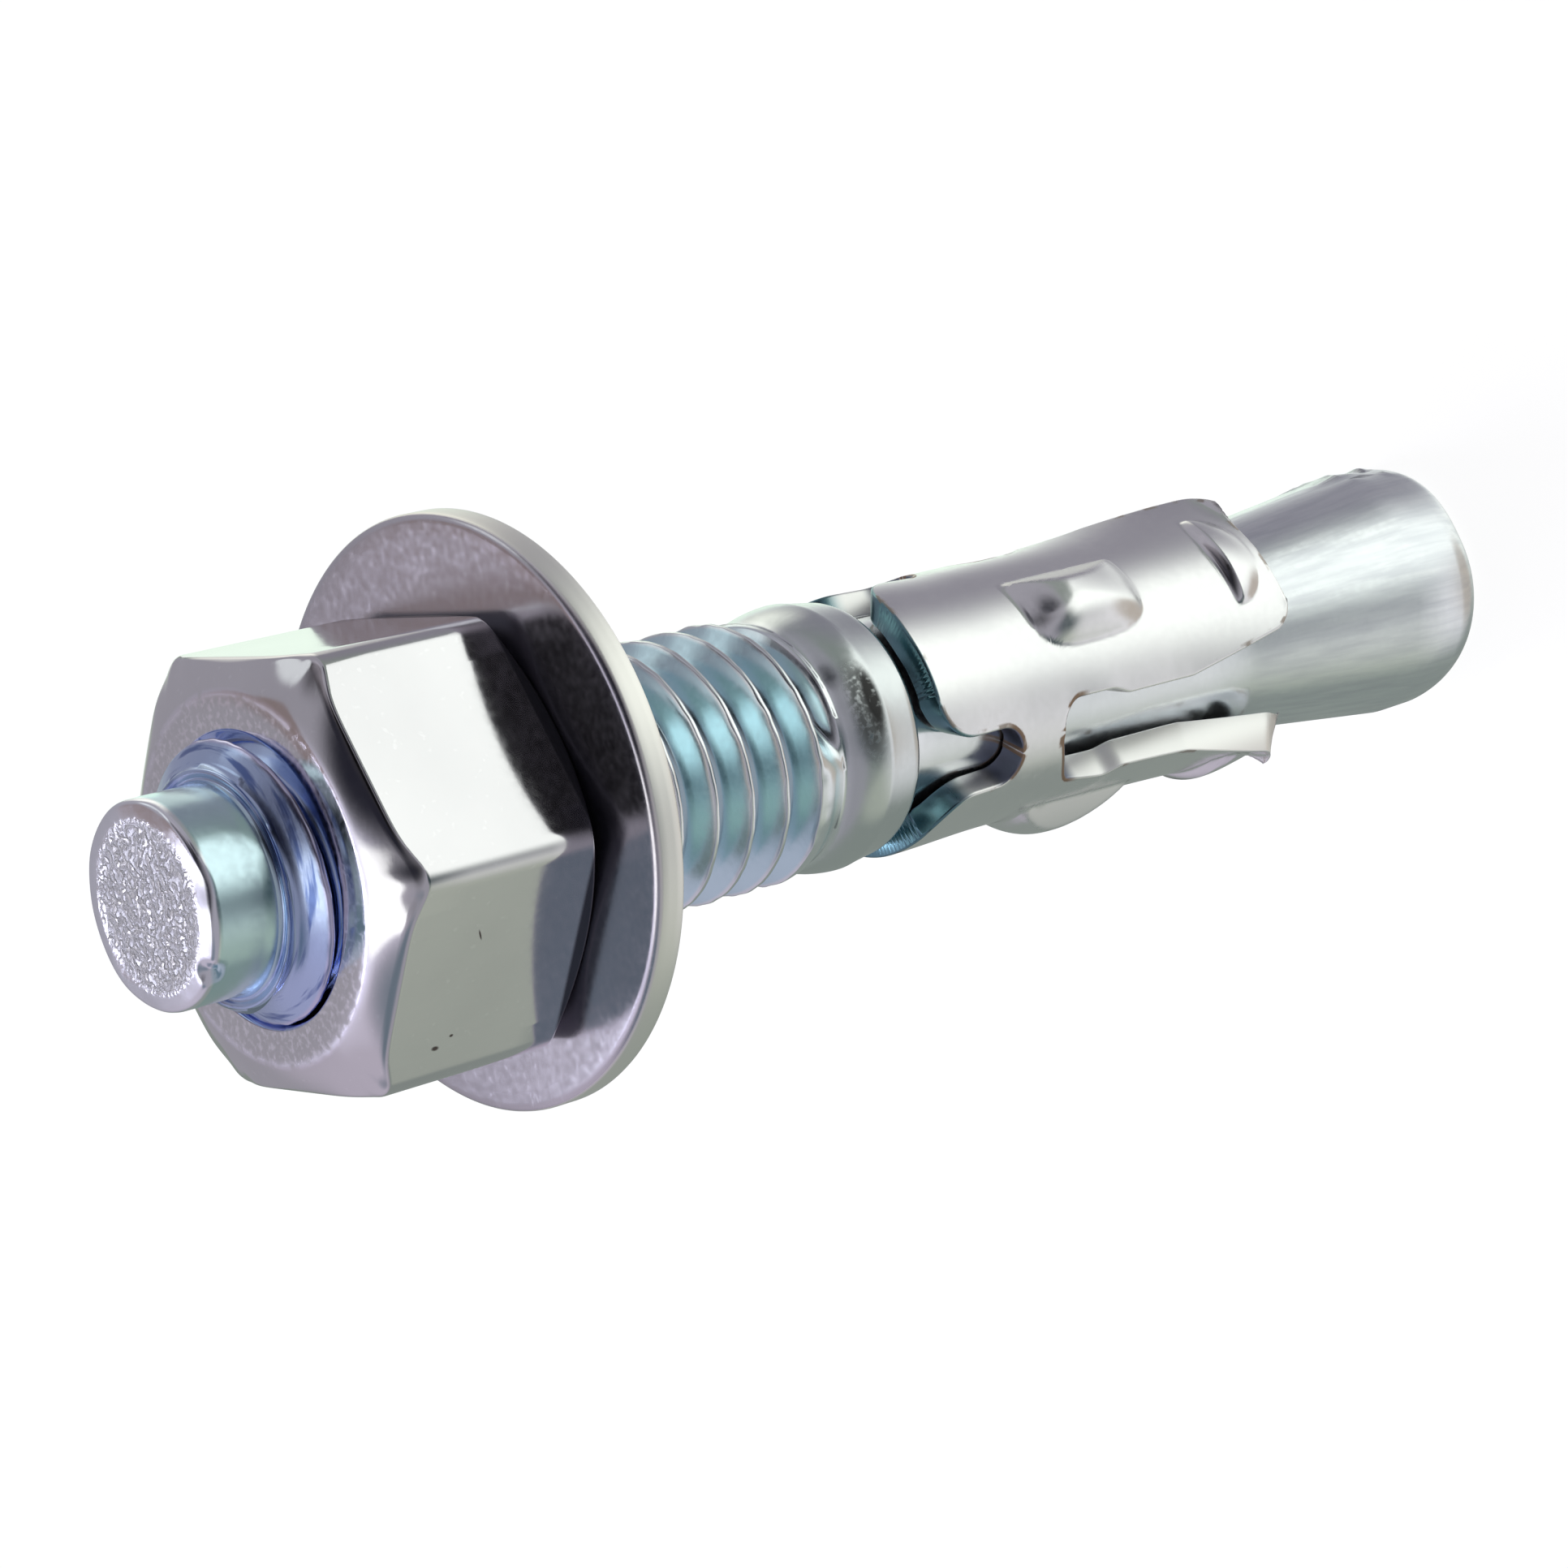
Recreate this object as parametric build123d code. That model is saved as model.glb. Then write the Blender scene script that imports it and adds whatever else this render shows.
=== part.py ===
from build123d import *
import math
import os

# A half-inch wedge anchor, as it comes out of the box: a one-piece stud, a sheet-metal
# expansion clip rolled round the stud's neck, a flat washer and a hexagon nut. It stands on
# its cone end. The origin is the middle of that end face, and +Z runs up the stud to the
# dog point. Lengths are in millimetres and angles in degrees, counted from +X about +Z.

# Thread, right-handed, of Whitworth form
THREADS_PER_INCH = 12
INCH = 25.4
THREAD_PITCH = INCH / THREADS_PER_INCH
THREAD_ANGLE = 55.0
THREAD_RADIUS = 6.35
THREAD_PHASE = 0.234
THREAD_CLEARANCE = 0.1

# Stud, from the cone end up
STUD_LENGTH = 80.0
END_ROUND_LENGTH = 2.9
END_ROUND_DEPTH = 1.5
END_RADIUS = 6.32
END_LAND_LENGTH = 1.3
CONE_HALF_ANGLE = 6.0
NECK_RADIUS = 4.85
NECK_LENGTH = 22.8
COLLAR_RADIUS = 6.45
COLLAR_SHOULDER_DEPTH = 0.25
COLLAR_SHOULDER_LENGTH = 0.7
COLLAR_BAND_LENGTH = 1.6
COLLAR_DOME_LENGTH = 2.5
BLANK_RADIUS = 5.85
BLANK_RAMP_LENGTH = 1.4
RUNOUT_START = 0.8
RUNOUT_LENGTH = 2.0
THREAD_BEVEL_LENGTH = 0.8
THREAD_END_RADIUS = 5.2
DOG_RADIUS = 4.6
DOG_LENGTH = 3.5
DOG_EDGE_BEVEL = 0.2

# Hexagon nut, both faces bevelled
NUT_ACROSS_FLATS = 19.05
NUT_HEIGHT = 11.1
NUT_TOP_DEPTH = 5.3
NUT_CORNER_ROUND = 1.2
NUT_BORE_RADIUS = 5.3
NUT_MOUTH_RADIUS = 6.56
NUT_TOP_FACE_RADIUS = 8.2
NUT_TOP_BEVEL_ANGLE = 36.7
NUT_SEAT_FACE_RADIUS = 9.0
NUT_SEAT_BEVEL_ANGLE = 30.0

# Washer, lying off centre by most of its play on the stud
WASHER_RADIUS = 13.5
WASHER_THICKNESS = 1.45
WASHER_HOLE_RADIUS = 7.15
WASHER_RIM_BEVEL = 0.35
WASHER_SHIFT = 0.6
WASHER_SHIFT_ANGLE = -31.0

# Expansion clip: three leaves joined by a narrow band, with a butt seam
LEAF_COUNT = 3
CLIP_THICKNESS = 1.4
CLIP_NECK_CLEARANCE = 0.1
CLIP_CONE_CLEARANCE = 0.12
CLIP_PLAY = 1.0
CLIP_LENGTH = 24.2
CLIP_COLLAR_FLARE = 0.15
CLIP_COLLAR_FLARE_LENGTH = 6.0
CLIP_TIP_FLARE_LENGTH = 8.2
SLOT_ANGLE = -107.6
SLOT_LENGTH = 16.0
SLOT_HALF_WIDTH = 1.15
SLOT_EYE_HALF_WIDTH = 1.55
SLOT_EYE_LENGTH = 3.1
SLOT_EYE_STEP = 1.2
SLOT_MOUTH_HALF_WIDTH = 2.3
SLOT_MOUTH_LENGTH = 7.2
LEAF_TIP_ROUND = 1.2
NOTCH_TURN = -4.5
NOTCH_DEPTH = 5.4
NOTCH_HALF_WIDTH = 1.5
NOTCH_FLOOR_ROUND = 1.2
LEAF_CORNER_ROUND = 2.2
SEAM_GAP = 0.5

# Pressed bump near the middle of each leaf
BUMP_TURN = -4.5
BUMP_HEIGHT = 1.4
BUMP_HALF_WIDTH = 2.2
BUMP_FOOT_DEPTH = 0.1
BUMP_START = 7.0
BUMP_COLLAR_RAMP = 3.2
BUMP_TIP_RAMP = 5.2
BUMP_CORNER_ROUND = 1.6
BUMP_SIDE_TAPER = 35.0

# Pressed half-moon near the tip of each leaf
MOON_HEIGHT = 0.4
MOON_BALL_RADIUS = 4.0
MOON_RISE = 2.6

# Room left past a face by a shape that only cuts or is cut
OVERSHOOT = 1.0

# Turn that keeps the seam of a round face away from the joints between turns of thread
SEAM_TURN = 45.0


def tan_of(angle):
    """Tangent of an angle in degrees."""
    return math.tan(math.radians(angle))


# Heights and radii that follow from the sizes above
cone_start = END_ROUND_LENGTH + END_LAND_LENGTH
cone_slope = tan_of(CONE_HALF_ANGLE)
neck_start = cone_start + (END_RADIUS - NECK_RADIUS) / cone_slope
neck_end = neck_start + NECK_LENGTH
collar_shoulder = neck_end + COLLAR_SHOULDER_LENGTH
collar_crest = collar_shoulder + COLLAR_BAND_LENGTH
blank_height = collar_crest + COLLAR_DOME_LENGTH
thread_end = STUD_LENGTH - DOG_LENGTH

half_thread_tan = tan_of(THREAD_ANGLE / 2)
thread_depth = THREAD_PITCH / half_thread_tan / 3
thread_flat = THREAD_PITCH / 6
root_radius = THREAD_RADIUS - thread_depth

nut_top = STUD_LENGTH - NUT_TOP_DEPTH
nut_seat = nut_top - NUT_HEIGHT
washer_seat = nut_seat - WASHER_THICKNESS

clip_top = neck_end - CLIP_PLAY
clip_tip = clip_top - CLIP_LENGTH
clip_inner = NECK_RADIUS + CLIP_NECK_CLEARANCE
clip_outer = clip_inner + CLIP_THICKNESS
leaf_turn = 360 / LEAF_COUNT


def cone_radius(height):
    """Radius of the stud's cone at a height, the neck's radius above it."""
    return NECK_RADIUS + max(0, neck_start - height) * cone_slope


def turned(outline):
    """Solid of revolution of a closed (radius, height) outline."""
    return revolve(Plane.XZ * make_face(outline), Axis.Z)


def ring(points):
    """Solid of revolution of a closed polygon of (radius, height) points."""
    return turned(Polyline(*points, close=True))


def thread_turns(inner_radius, inner_width, outer_radius, outer_width, phase, low, high):
    """One helical solid for each turn from just below low to just past high."""
    half_in = inner_width / 2
    half_out = outer_width / 2
    start = (math.floor(low / THREAD_PITCH - phase) + phase) * THREAD_PITCH
    section = Polyline(
        (inner_radius, start - half_in),
        (outer_radius, start - half_out),
        (outer_radius, start + half_out),
        (inner_radius, start + half_in),
        close=True,
    )
    lead = Helix(THREAD_PITCH, THREAD_PITCH, inner_radius, center=(0, 0, start))
    turn = sweep(Plane.XZ * make_face(section), path=lead, is_frenet=True)
    count = math.ceil((high - start) / THREAD_PITCH)
    return [Pos(0, 0, index * THREAD_PITCH) * turn for index in range(count)]


def stud_blank():
    """The turned form of the stud, before its thread is rolled."""
    face_radius = END_RADIUS - END_ROUND_DEPTH
    shoulder_radius = COLLAR_RADIUS - COLLAR_SHOULDER_DEPTH
    end_round = EllipticalCenterArc(
        (face_radius, END_ROUND_LENGTH),
        END_ROUND_DEPTH,
        END_ROUND_LENGTH,
        start_angle=270,
        arc_size=90,
    )
    lower = Polyline(
        end_round @ 1,
        (END_RADIUS, cone_start),
        (NECK_RADIUS, neck_start),
        (NECK_RADIUS, neck_end),
        (shoulder_radius - COLLAR_SHOULDER_DEPTH, neck_end + COLLAR_SHOULDER_DEPTH / 2),
        (shoulder_radius, collar_shoulder),
        (COLLAR_RADIUS, collar_crest),
    )
    dome = TangentArc(lower @ 1, (BLANK_RADIUS, blank_height), tangent=(0, 1))
    upper = Polyline(
        dome @ 1,
        (THREAD_RADIUS, blank_height + BLANK_RAMP_LENGTH),
        (THREAD_RADIUS, thread_end - THREAD_BEVEL_LENGTH),
        (THREAD_END_RADIUS, thread_end),
        (DOG_RADIUS, thread_end),
        (DOG_RADIUS, STUD_LENGTH - DOG_EDGE_BEVEL),
        (DOG_RADIUS - DOG_EDGE_BEVEL, STUD_LENGTH),
        (0, STUD_LENGTH),
        (0, 0),
        end_round @ 0,
    )
    return turned([end_round, lower, dome, upper])


def stud():
    """Stud with its rolled thread, which fades out into the blank above the collar's dome."""
    mouth_radius = THREAD_RADIUS + thread_flat / 2
    mouth_width = thread_flat + 2 * (mouth_radius - root_radius) * half_thread_tan
    groove = thread_turns(
        root_radius,
        thread_flat,
        mouth_radius,
        mouth_width,
        THREAD_PHASE,
        blank_height,
        thread_end + OVERSHOOT,
    )
    fade_slope = RUNOUT_LENGTH / (mouth_radius - root_radius)
    fade_middle = blank_height + RUNOUT_START
    fade = ring([
        (0, blank_height - 3 * THREAD_PITCH),
        (mouth_radius + OVERSHOOT, blank_height - 3 * THREAD_PITCH),
        (mouth_radius + OVERSHOOT, fade_middle - OVERSHOOT * fade_slope),
        (0, fade_middle + mouth_radius * fade_slope),
    ])
    blank = Rot(0, 0, SEAM_TURN) * stud_blank()
    return blank - [turn - fade for turn in groove]


def nut():
    """Hexagon nut, bevelled at both faces, countersunk and tapped to the stud's thread."""
    hexagon = RegularPolygon(NUT_ACROSS_FLATS / 2, 6, major_radius=False, rotation=30)
    hexagon = fillet(hexagon.vertices(), NUT_CORNER_ROUND)
    corner_radius = NUT_ACROSS_FLATS / math.sqrt(3)
    top_bevel = (corner_radius - NUT_TOP_FACE_RADIUS) * tan_of(NUT_TOP_BEVEL_ANGLE)
    seat_bevel = (corner_radius - NUT_SEAT_FACE_RADIUS) * tan_of(NUT_SEAT_BEVEL_ANGLE)
    envelope = ring([
        (0, nut_seat),
        (NUT_SEAT_FACE_RADIUS, nut_seat),
        (corner_radius, nut_seat + seat_bevel),
        (corner_radius, nut_top - top_bevel),
        (NUT_TOP_FACE_RADIUS, nut_top),
        (0, nut_top),
    ])
    blank = Pos(0, 0, nut_seat) * extrude(hexagon, NUT_HEIGHT) & envelope
    mouth = NUT_MOUTH_RADIUS - NUT_BORE_RADIUS
    bore = ring([
        (0, nut_seat - OVERSHOOT),
        (NUT_MOUTH_RADIUS + OVERSHOOT, nut_seat - OVERSHOOT),
        (NUT_BORE_RADIUS, nut_seat + mouth),
        (NUT_BORE_RADIUS, nut_top - mouth),
        (NUT_MOUTH_RADIUS + OVERSHOOT, nut_top + OVERSHOOT),
        (0, nut_top + OVERSHOOT),
    ])
    inner_radius = NUT_BORE_RADIUS - THREAD_CLEARANCE
    outer_radius = THREAD_RADIUS + THREAD_CLEARANCE
    flat = thread_flat + 2 * THREAD_CLEARANCE
    groove = thread_turns(
        inner_radius,
        flat + 2 * (THREAD_RADIUS - inner_radius) * half_thread_tan,
        outer_radius,
        flat + 2 * (THREAD_RADIUS - outer_radius) * half_thread_tan,
        THREAD_PHASE + 0.5,
        nut_seat - THREAD_PITCH,
        nut_top + THREAD_PITCH,
    )
    return blank - Rot(0, 0, SEAM_TURN) * bore - groove


def washer():
    """Flat washer, its top rim bevelled by the punch, pushed to one side of the stud."""
    disc = ring([
        (WASHER_HOLE_RADIUS, washer_seat),
        (WASHER_RADIUS, washer_seat),
        (WASHER_RADIUS, nut_seat - WASHER_RIM_BEVEL),
        (WASHER_RADIUS - WASHER_RIM_BEVEL, nut_seat),
        (WASHER_HOLE_RADIUS, nut_seat),
    ])
    return Rot(0, 0, WASHER_SHIFT_ANGLE) * Pos(WASHER_SHIFT, 0, 0) * disc


def side_on(radius):
    """Plane square to +X at a radius: its X runs round the stud and its Y up it."""
    return Plane(origin=(radius, 0, 0), x_dir=(0, 1, 0), z_dir=(1, 0, 0))


def clip_sleeve():
    """The rolled sheet before its slots: flared at the collar, and over the cone at the tips."""
    tip_inner = max(cone_radius(clip_tip) + CLIP_CONE_CLEARANCE, clip_inner)
    inner = [
        (tip_inner, clip_tip),
        (clip_inner, clip_tip + CLIP_TIP_FLARE_LENGTH),
        (clip_inner, clip_top - CLIP_COLLAR_FLARE_LENGTH),
        (clip_inner + CLIP_COLLAR_FLARE, clip_top),
    ]
    outer = [(radius + CLIP_THICKNESS, height) for radius, height in reversed(inner)]
    return ring(inner + outer)


def through_wall(angle, half_edges):
    """Cut through one side of the clip, from one half of its outline as seen square on."""
    half = Curve() + half_edges
    outline = make_face(half + mirror(half, Plane.YZ))
    cutter = side_on(0) * extrude(outline, clip_outer + BUMP_HEIGHT + OVERSHOOT)
    return Rot(0, 0, angle) * cutter


def slot(angle):
    """Slot between two leaves: a wide eye at its closed end, and a mouth that flares out."""
    top = clip_tip + SLOT_LENGTH
    eye = top - SLOT_EYE_LENGTH
    tip_x = SLOT_MOUTH_HALF_WIDTH + LEAF_TIP_ROUND
    eye_round = SLOT_EYE_HALF_WIDTH / 2
    eye_end = Polyline((0, top), (SLOT_EYE_HALF_WIDTH - eye_round, top))
    eye_corner = TangentArc(
        eye_end @ 1, (SLOT_EYE_HALF_WIDTH, top - eye_round), tangent=(1, 0)
    )
    edge = Polyline(
        eye_corner @ 1,
        (SLOT_EYE_HALF_WIDTH, eye),
        (SLOT_HALF_WIDTH, eye - SLOT_EYE_STEP),
        (SLOT_HALF_WIDTH, clip_tip + SLOT_MOUTH_LENGTH),
        (SLOT_MOUTH_HALF_WIDTH, clip_tip + LEAF_TIP_ROUND),
    )
    tip_corner = TangentArc(edge @ 1, (tip_x, clip_tip), tangent=(0, -1))
    below = clip_tip - OVERSHOOT
    return through_wall(angle, [
        eye_end, eye_corner, edge, tip_corner, Polyline((tip_x, clip_tip), (tip_x, below), (0, below))
    ])


def notch(angle):
    """Notch at the collar end between two leaves, whose corners it rounds off."""
    floor = clip_top - NOTCH_DEPTH
    corner_x = NOTCH_HALF_WIDTH + LEAF_CORNER_ROUND
    floor_end = Polyline((0, floor), (NOTCH_HALF_WIDTH - NOTCH_FLOOR_ROUND, floor))
    floor_corner = TangentArc(
        floor_end @ 1, (NOTCH_HALF_WIDTH, floor + NOTCH_FLOOR_ROUND), tangent=(1, 0)
    )
    side = Line(floor_corner @ 1, (NOTCH_HALF_WIDTH, clip_top - LEAF_CORNER_ROUND))
    leaf_corner = TangentArc(side @ 1, (corner_x, clip_top), tangent=(0, 1))
    above = clip_top + OVERSHOOT
    return through_wall(angle, [
        floor_end, floor_corner, side, leaf_corner,
        Polyline((corner_x, clip_top), (corner_x, above), (0, above)),
    ])


def seam(angle):
    """Gap where the two ends of the rolled strip meet."""
    height = 2 * CLIP_LENGTH
    return through_wall(angle, [
        Polyline((0, 0), (SEAM_GAP / 2, 0), (SEAM_GAP / 2, height), (0, height)),
    ])


def bump():
    """Roof-shaped bump, steeper towards the collar, as it stands on a leaf facing +X."""
    top = clip_top - BUMP_START
    crest = top - BUMP_COLLAR_RAMP
    bottom = crest - BUMP_TIP_RAMP
    foot_radius = clip_outer * math.cos(BUMP_HALF_WIDTH / clip_outer) - BUMP_FOOT_DEPTH
    rise = clip_outer + BUMP_HEIGHT - foot_radius
    inset = rise * tan_of(BUMP_SIDE_TAPER)
    length = top - bottom
    middle = (top + bottom) / 2
    foot = RectangleRounded(2 * BUMP_HALF_WIDTH, length, BUMP_CORNER_ROUND)
    head = RectangleRounded(
        2 * (BUMP_HALF_WIDTH - inset), length - 2 * inset, BUMP_CORNER_ROUND - inset
    )
    block = side_on(foot_radius) * Pos(0, middle, 0) * loft([foot, Pos(0, 0, rise) * head])
    roof = make_face(Polyline(
        (foot_radius - OVERSHOOT, top),
        (clip_outer, top),
        (clip_outer + BUMP_HEIGHT, crest),
        (clip_outer, bottom),
        (foot_radius - OVERSHOOT, bottom),
        close=True,
    ))
    return block & revolve(Plane.XZ * roof, Axis.Z)


def moon():
    """Half-moon near a leaf's tip: a shallow ball cap with a steep straight side."""
    height = clip_tip + MOON_RISE
    surface = clip_outer + cone_radius(clip_tip) - NECK_RADIUS
    ball = Pos(surface + MOON_HEIGHT - MOON_BALL_RADIUS, 0, height) * Sphere(MOON_BALL_RADIUS)
    foot_radius = surface - CLIP_THICKNESS / 2
    reach = surface + MOON_HEIGHT + OVERSHOOT
    return ball & ring([
        (foot_radius, clip_tip), (reach, clip_tip), (reach, height), (foot_radius, height)
    ])


def clip():
    """Expansion clip: the rolled sleeve cut into leaves, each with its pressed forms."""
    sleeve = clip_sleeve()
    for index in range(LEAF_COUNT):
        slot_angle = SLOT_ANGLE + index * leaf_turn
        leaf_angle = slot_angle + leaf_turn / 2
        bump_place = Rot(0, 0, leaf_angle + BUMP_TURN)
        moon_place = Rot(0, 0, leaf_angle)
        sleeve += [bump_place * bump(), moon_place * moon()]
        inward = Pos(-CLIP_THICKNESS, 0, 0)
        sleeve -= [bump_place * inward * bump(), moon_place * inward * moon()]
        sleeve -= [slot(slot_angle), notch(slot_angle + NOTCH_TURN)]
    return sleeve - seam(SLOT_ANGLE + (LEAF_COUNT - 1) * leaf_turn)


if __name__ == "__main__":
    os.makedirs("parts", exist_ok=True)
    export_step(stud(), "parts/stud.step")
    export_step(nut(), "parts/nut.step")
    export_step(washer(), "parts/washer.step")
    export_step(clip(), "parts/clip.step")
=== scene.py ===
import math

import bmesh
import bpy
from mathutils import Matrix, Vector, kdtree, noise


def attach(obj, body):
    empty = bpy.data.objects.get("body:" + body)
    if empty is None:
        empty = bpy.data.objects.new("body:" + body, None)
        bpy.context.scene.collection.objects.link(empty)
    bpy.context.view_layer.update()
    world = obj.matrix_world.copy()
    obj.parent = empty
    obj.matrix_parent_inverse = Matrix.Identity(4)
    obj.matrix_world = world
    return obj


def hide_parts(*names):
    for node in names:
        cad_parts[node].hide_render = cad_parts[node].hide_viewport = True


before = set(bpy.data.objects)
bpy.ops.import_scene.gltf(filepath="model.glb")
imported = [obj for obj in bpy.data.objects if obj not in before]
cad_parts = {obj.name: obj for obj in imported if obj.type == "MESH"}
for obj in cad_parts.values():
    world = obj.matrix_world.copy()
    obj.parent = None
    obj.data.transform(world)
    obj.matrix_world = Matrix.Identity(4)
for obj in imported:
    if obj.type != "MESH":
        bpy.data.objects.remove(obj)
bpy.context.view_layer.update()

# ---- Camera, floor and light --------------------------------------------------------------
# A long-lens view from above the nut, along a steep slope, with the anchor lying across the
# frame from lower left to upper right. The floor is a plain pale sheet, and the light comes
# from a tent of soft panels, with the dark gaps between them that bright metal needs.

# Lengths are in metres here, and MM makes metres of the mm in the sections below.
MM = 0.001
CAMERA_PLACE = Vector((26.654, -152.860, 173.300)) * MM
CAMERA_RIGHT = Vector((-0.1411, -0.6529, -0.7442))
CAMERA_UP = Vector((0.9798, 0.0154, -0.1993))
LENS_MM = 98.46
SENSOR_MM = 36.0
NEAREST_SEEN = 0.01
FLOOR_HALF_SIZE = 3.0
FLOOR_GLOW = 0.90
FLOOR_SHADED = (0.30, 0.30, 0.30, 1)
FLOOR_PLAIN = (0.85, 0.85, 0.85, 1)

TENT_UPPER = (0.34, 0.33, 0.37)
TENT_LOWER = (0.25, 0.28, 0.26)
TENT_RISE = (-0.23, -0.17)
# Each panel has its colour times its brightness, then the half-spaces it lies in, each as
# (axis, where the panel starts, where it is full). The last is a small lamp for the stud's face.
PANELS = [
    ((0.50, 0.46, 0.54), [((-0.78, 0.30, 0.55), 0.626, 0.945)]),
    ((0.42, 0.45, 0.39), [((-0.67, -0.52, -0.54), 0.909, 0.980)]),
    ((0.04, 0.06, 0.07), [((-0.01, -0.93, -0.36), 0.893, 1.010)]),
    ((1.12, 1.09, 1.34), [((-0.18, 0.41, 0.89), 0.863, 1.047)]),
    ((0.14, 0.18, 0.22), [((-0.76, -0.16, 0.64), 0.850, 1.015)]),
    ((1.15, 1.19, 1.14), [((1.00, 0.05, -0.02), -0.307, 0.355),
                          ((-0.73, -0.16, -0.66), -0.164, -0.152),
                          ((0.36, 0.09, -0.93), 0.206, 0.519)]),
    ((0.26, 0.25, 0.29), [((0.70, 0.35, -0.62), 0.727, 1.021)]),
    ((0.86, 0.85, 0.87), [((-0.23, -0.45, -0.86), 0.812, 1.037)]),
    ((1.36, 1.36, 1.22), [((0.69, 0.68, -0.23), 0.890, 1.036)]),
    ((1.45, 1.45, 1.45), [((-0.20, 0.13, 0.97), 0.966, 0.979)]),
    ((0.26, 0.21, 0.21), [((0.07, 0.67, 0.74), 0.957, 0.970)]),
    ((0.00, 0.00, 0.00), [((0.40, -0.70, -0.59), -0.590, -0.326),
                          ((0.78, 0.25, 0.57), -0.065, 0.723),
                          ((-0.66, -0.17, 0.73), -0.218, -0.055)]),
    ((0.05, 0.05, 0.06), [((0.79, -0.60, 0.07), 0.972, 0.990)]),
    ((0.49, 0.44, 0.39), [((-0.07, -0.23, -0.97), 0.925, 0.982)]),
    ((0.78, 0.72, 0.80), [((0.75, -0.04, 0.66), 0.886, 1.187)]),
    ((0.02, 0.02, 0.03), [((0.34, -0.16, 0.93), 0.856, 1.009)]),
    ((0.00, 0.01, 0.01), [((0.33, -0.91, -0.25), 0.948, 1.109),
                          ((0.00, -0.50, -0.86), -0.350, -0.150)]),
    ((0.75, 0.78, 0.80), [((0.64, 0.50, 0.58), 0.975, 0.990)]),
    ((0.92, 1.06, 0.93), [((0.11, 0.83, -0.55), 0.955, 0.985)]),
    ((8.40, 8.60, 10.4), [((-0.15, 0.59, 0.80), 0.992, 0.996)]),
]

camera = bpy.data.objects.new("camera", bpy.data.cameras.new("camera"))
bpy.context.scene.collection.objects.link(camera)
camera.data.sensor_width = SENSOR_MM
camera.data.lens = LENS_MM
camera.data.clip_start = NEAREST_SEEN
camera_back = CAMERA_RIGHT.cross(CAMERA_UP).normalized()
camera_up = camera_back.cross(CAMERA_RIGHT).normalized()
turn = Matrix((CAMERA_RIGHT.normalized(), camera_up, camera_back)).transposed()
camera.matrix_world = Matrix.Translation(CAMERA_PLACE) @ turn.to_4x4()
bpy.context.scene.camera = camera


def link_socket(tree, socket, value):
    """Sets a node's input to a constant, or links it to another node's output."""
    if isinstance(value, bpy.types.NodeSocket):
        tree.links.new(value, socket)
    else:
        socket.default_value = value


def add_node(tree, kind, inputs=None, **settings):
    """A node of a kind with its settings, and its inputs by name or number."""
    node = tree.nodes.new(kind)
    for name, value in settings.items():
        setattr(node, name, value)
    for name, value in (inputs or {}).items():
        link_socket(tree, node.inputs[name], value)
    return node


def mix_colour(tree, factor, first, second, blend="MIX"):
    """The output of a colour mix of two colours or sockets."""
    node = add_node(tree, "ShaderNodeMix", data_type="RGBA", blend_type=blend)
    link_socket(tree, node.inputs[0], factor)
    for socket, value in ((node.inputs[6], first), (node.inputs[7], second)):
        link_socket(tree, socket, (*value, 1) if isinstance(value, tuple) else value)
    return node.outputs[2]


def ramp_value(tree, value, low, high, start=0.0, end=1.0, smooth=True):
    """A value mapped from low..high to start..end, held at both ends."""
    node = add_node(tree, "ShaderNodeMapRange")
    node.interpolation_type = "SMOOTHSTEP" if smooth else "LINEAR"
    for name, number in (("Value", value), ("From Min", low), ("From Max", high),
                         ("To Min", start), ("To Max", end)):
        link_socket(tree, node.inputs[name], number)
    return node.outputs["Result"]


def multiply(tree, first, second):
    """The product of two values."""
    node = add_node(tree, "ShaderNodeMath", {0: first, 1: second}, operation="MULTIPLY")
    return node.outputs[0]


bpy.context.scene.view_settings.view_transform = "Standard"
world = bpy.data.worlds.new("light_tent")
bpy.context.scene.world = world
world.use_nodes = True
tent = world.node_tree
towards = add_node(tent, "ShaderNodeTexCoord").outputs["Generated"]
upward = add_node(tent, "ShaderNodeVectorMath", {0: towards, 1: (0, 0, 1)},
                  operation="DOT_PRODUCT").outputs["Value"]
tent_colour = mix_colour(tent, ramp_value(tent, upward, *TENT_RISE), TENT_LOWER, TENT_UPPER)
for brightness, edges in PANELS:
    inside = 1.0
    for axis, low, high in edges:
        along = add_node(tent, "ShaderNodeVectorMath",
                         {0: towards, 1: tuple(Vector(axis).normalized())},
                         operation="DOT_PRODUCT").outputs["Value"]
        inside = multiply(tent, inside, ramp_value(tent, along, low, high))
    tent_colour = mix_colour(tent, inside, tent_colour, brightness)
seen_by_camera = add_node(tent, "ShaderNodeLightPath").outputs["Is Camera Ray"]
tent_colour = mix_colour(tent, seen_by_camera, tent_colour, (1, 1, 1))
background = tent.nodes["Background"]
link_socket(tent, background.inputs["Color"], tent_colour)

floor_bm = bmesh.new()
bmesh.ops.create_grid(floor_bm, x_segments=1, y_segments=1, size=FLOOR_HALF_SIZE)
floor_mesh = bpy.data.meshes.new("floor")
floor_bm.to_mesh(floor_mesh)
floor_bm.free()
floor = bpy.data.objects.new("floor", floor_mesh)
bpy.context.scene.collection.objects.link(floor)
floor.visible_glossy = False
floor.visible_shadow = False
floor.visible_diffuse = False
paper = bpy.data.materials.new("white_paper")
paper.use_nodes = True
sheet = paper.node_tree
sheet.nodes.clear()
seen = add_node(sheet, "ShaderNodeLightPath").outputs["Is Camera Ray"]
plain = add_node(sheet, "ShaderNodeBsdfDiffuse", {"Color": FLOOR_PLAIN})
shaded = add_node(sheet, "ShaderNodeBsdfDiffuse", {"Color": FLOOR_SHADED})
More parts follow.
